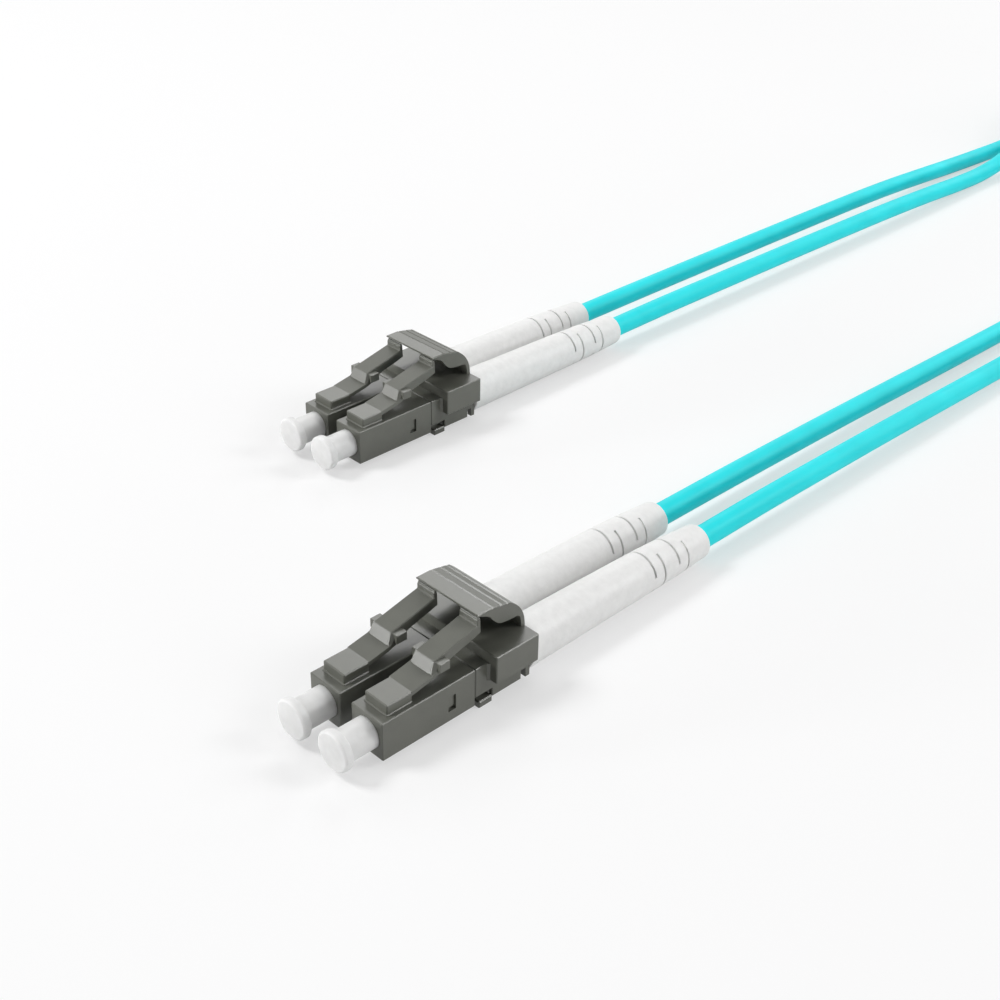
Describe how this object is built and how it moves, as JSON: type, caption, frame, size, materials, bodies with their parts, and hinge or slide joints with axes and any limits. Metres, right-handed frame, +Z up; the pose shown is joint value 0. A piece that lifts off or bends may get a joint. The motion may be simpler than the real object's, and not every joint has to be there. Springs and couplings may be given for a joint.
{
  "type": "fiber optic patch cord",
  "caption": "Duplex multimode fiber optic patch cord, aqua, with grey duplex LC type plugs, white boots and dust caps at both ends",
  "frame": {"origin": "under the middle of the two plugs, on the surface that they rest on", "axes": "+Y from the dust caps towards the cords, +X across the two plugs, +Z up, with the latches on top"},
  "size_m": [0.057, 0.2655, 0.014],
  "materials": {
    "cap_plastic": "milky white semi-matt plastic",
    "grey_plastic": "warm grey satin moulded plastic",
    "ferrule_white": "polished white ceramic, listed as gloss plastic",
    "holder_metal": "plated, turned",
    "spring_steel": "drawn wire and crimped sleeve",
    "fiber_buffer": "tight buffer",
    "aqua_jacket": "aqua cord jacket, low sheen",
    "boot_rubber": "white flexible boot, satin",
    "tie_fabric": "dark woven hook and loop band"
  },
  "bodies": {
    "cord_set": {"housing_a1": "grey_plastic", "spring_a1": "spring_steel", "fiber_a1": "fiber_buffer", "rear_body_a1": "grey_plastic", "crimp_sleeve_a1": "spring_steel", "jacket_end_a1": "aqua_jacket", "boot_a1": "boot_rubber", "housing_a2": "grey_plastic", "spring_a2": "spring_steel", "fiber_a2": "fiber_buffer", "rear_body_a2": "grey_plastic", "crimp_sleeve_a2": "spring_steel", "jacket_end_a2": "aqua_jacket", "boot_a2": "boot_rubber", "housing_b1": "grey_plastic", "spring_b1": "spring_steel", "fiber_b1": "fiber_buffer", "rear_body_b1": "grey_plastic", "crimp_sleeve_b1": "spring_steel", "jacket_end_b1": "aqua_jacket", "boot_b1": "boot_rubber", "housing_b2": "grey_plastic", "spring_b2": "spring_steel", "fiber_b2": "fiber_buffer", "rear_body_b2": "grey_plastic", "crimp_sleeve_b2": "spring_steel", "jacket_end_b2": "aqua_jacket", "boot_b2": "boot_rubber", "clip_a": "grey_plastic", "clip_b": "grey_plastic", "cord_outer_b": "aqua_jacket", "cord_inner_b": "aqua_jacket", "cord_outer_a": "aqua_jacket", "cord_inner_a": "aqua_jacket", "coil_outer": "aqua_jacket", "coil_inner": "aqua_jacket", "tie_far": "tie_fabric", "tie_near": "tie_fabric"},
    "trigger_a": {"trigger_a": "grey_plastic"},
    "latch_a1": {"latch_a1": "grey_plastic"},
    "dust_cap_a1": {"dust_cap_a1": "cap_plastic"},
    "ferrule_a1": {"ferrule_a1": "ferrule_white", "ferrule_holder_a1": "holder_metal"},
    "latch_a2": {"latch_a2": "grey_plastic"},
    "dust_cap_a2": {"dust_cap_a2": "cap_plastic"},
    "ferrule_a2": {"ferrule_a2": "ferrule_white", "ferrule_holder_a2": "holder_metal"},
    "trigger_b": {"trigger_b": "grey_plastic"},
    "latch_b1": {"latch_b1": "grey_plastic"},
    "dust_cap_b1": {"dust_cap_b1": "cap_plastic"},
    "ferrule_b1": {"ferrule_b1": "ferrule_white", "ferrule_holder_b1": "holder_metal"},
    "latch_b2": {"latch_b2": "grey_plastic"},
    "dust_cap_b2": {"dust_cap_b2": "cap_plastic"},
    "ferrule_b2": {"ferrule_b2": "ferrule_white", "ferrule_holder_b2": "holder_metal"}
  },
  "joints": [
    {"name": "trigger_hinge_a", "type": "hinge", "parent": "cord_set", "child": "trigger_a", "pos_m": [-0.02189, 0.01364, 0.00649], "axis": [1, 0, 0], "range_deg": [0, 12], "stiffness_Nm_per_rad": 0.005},
    {"name": "latch_hinge_a1", "type": "hinge", "parent": "cord_set", "child": "latch_a1", "pos_m": [-0.02501, -0.0012, 0.00593], "axis": [-1, 0, 0], "range_deg": [0, 9.6], "stiffness_Nm_per_rad": 0.005},
    {"name": "dust_cap_slide_a1", "type": "slide", "parent": "cord_set", "child": "dust_cap_a1", "axis": [0, -1, 0], "range_m": [0, 0.012]},
    {"name": "ferrule_slide_a1", "type": "slide", "parent": "cord_set", "child": "ferrule_a1", "axis": [0, 1, 0], "range_m": [0, 0.001], "stiffness_N_per_m": 800, "deforming": ["spring_a1"]},
    {"name": "latch_hinge_a2", "type": "hinge", "parent": "cord_set", "child": "latch_a2", "pos_m": [-0.01877, -0.0012, 0.00593], "axis": [-1, 0, 0], "range_deg": [0, 9.6], "stiffness_Nm_per_rad": 0.005},
    {"name": "dust_cap_slide_a2", "type": "slide", "parent": "cord_set", "child": "dust_cap_a2", "axis": [0, -1, 0], "range_m": [0, 0.012]},
    {"name": "ferrule_slide_a2", "type": "slide", "parent": "cord_set", "child": "ferrule_a2", "axis": [0, 1, 0], "range_m": [0, 0.001], "stiffness_N_per_m": 800, "deforming": ["spring_a2"]},
    {"name": "trigger_hinge_b", "type": "hinge", "parent": "cord_set", "child": "trigger_b", "pos_m": [0.02189, -0.02006, 0.00649], "axis": [1, 0, 0], "range_deg": [0, 12], "stiffness_Nm_per_rad": 0.005},
    {"name": "latch_hinge_b1", "type": "hinge", "parent": "cord_set", "child": "latch_b1", "pos_m": [0.01877, -0.0349, 0.00593], "axis": [-1, 0, 0], "range_deg": [0, 9.6], "stiffness_Nm_per_rad": 0.005},
    {"name": "dust_cap_slide_b1", "type": "slide", "parent": "cord_set", "child": "dust_cap_b1", "axis": [0, -1, 0], "range_m": [0, 0.012]},
    {"name": "ferrule_slide_b1", "type": "slide", "parent": "cord_set", "child": "ferrule_b1", "axis": [0, 1, 0], "range_m": [0, 0.001], "stiffness_N_per_m": 800, "deforming": ["spring_b1"]},
    {"name": "latch_hinge_b2", "type": "hinge", "parent": "cord_set", "child": "latch_b2", "pos_m": [0.02501, -0.0349, 0.00593], "axis": [-1, 0, 0], "range_deg": [0, 9.6], "stiffness_Nm_per_rad": 0.005},
    {"name": "dust_cap_slide_b2", "type": "slide", "parent": "cord_set", "child": "dust_cap_b2", "axis": [0, -1, 0], "range_m": [0, 0.012]},
    {"name": "ferrule_slide_b2", "type": "slide", "parent": "cord_set", "child": "ferrule_b2", "axis": [0, 1, 0], "range_m": [0, 0.001], "stiffness_N_per_m": 800, "deforming": ["spring_b2"]}
  ],
  "couplings": [
    {"joint": "latch_hinge_a1", "follows": "trigger_hinge_a", "ratio": 0.8},
    {"joint": "latch_hinge_a2", "follows": "trigger_hinge_a", "ratio": 0.8},
    {"joint": "latch_hinge_b1", "follows": "trigger_hinge_b", "ratio": 0.8},
    {"joint": "latch_hinge_b2", "follows": "trigger_hinge_b", "ratio": 0.8}
  ]
}
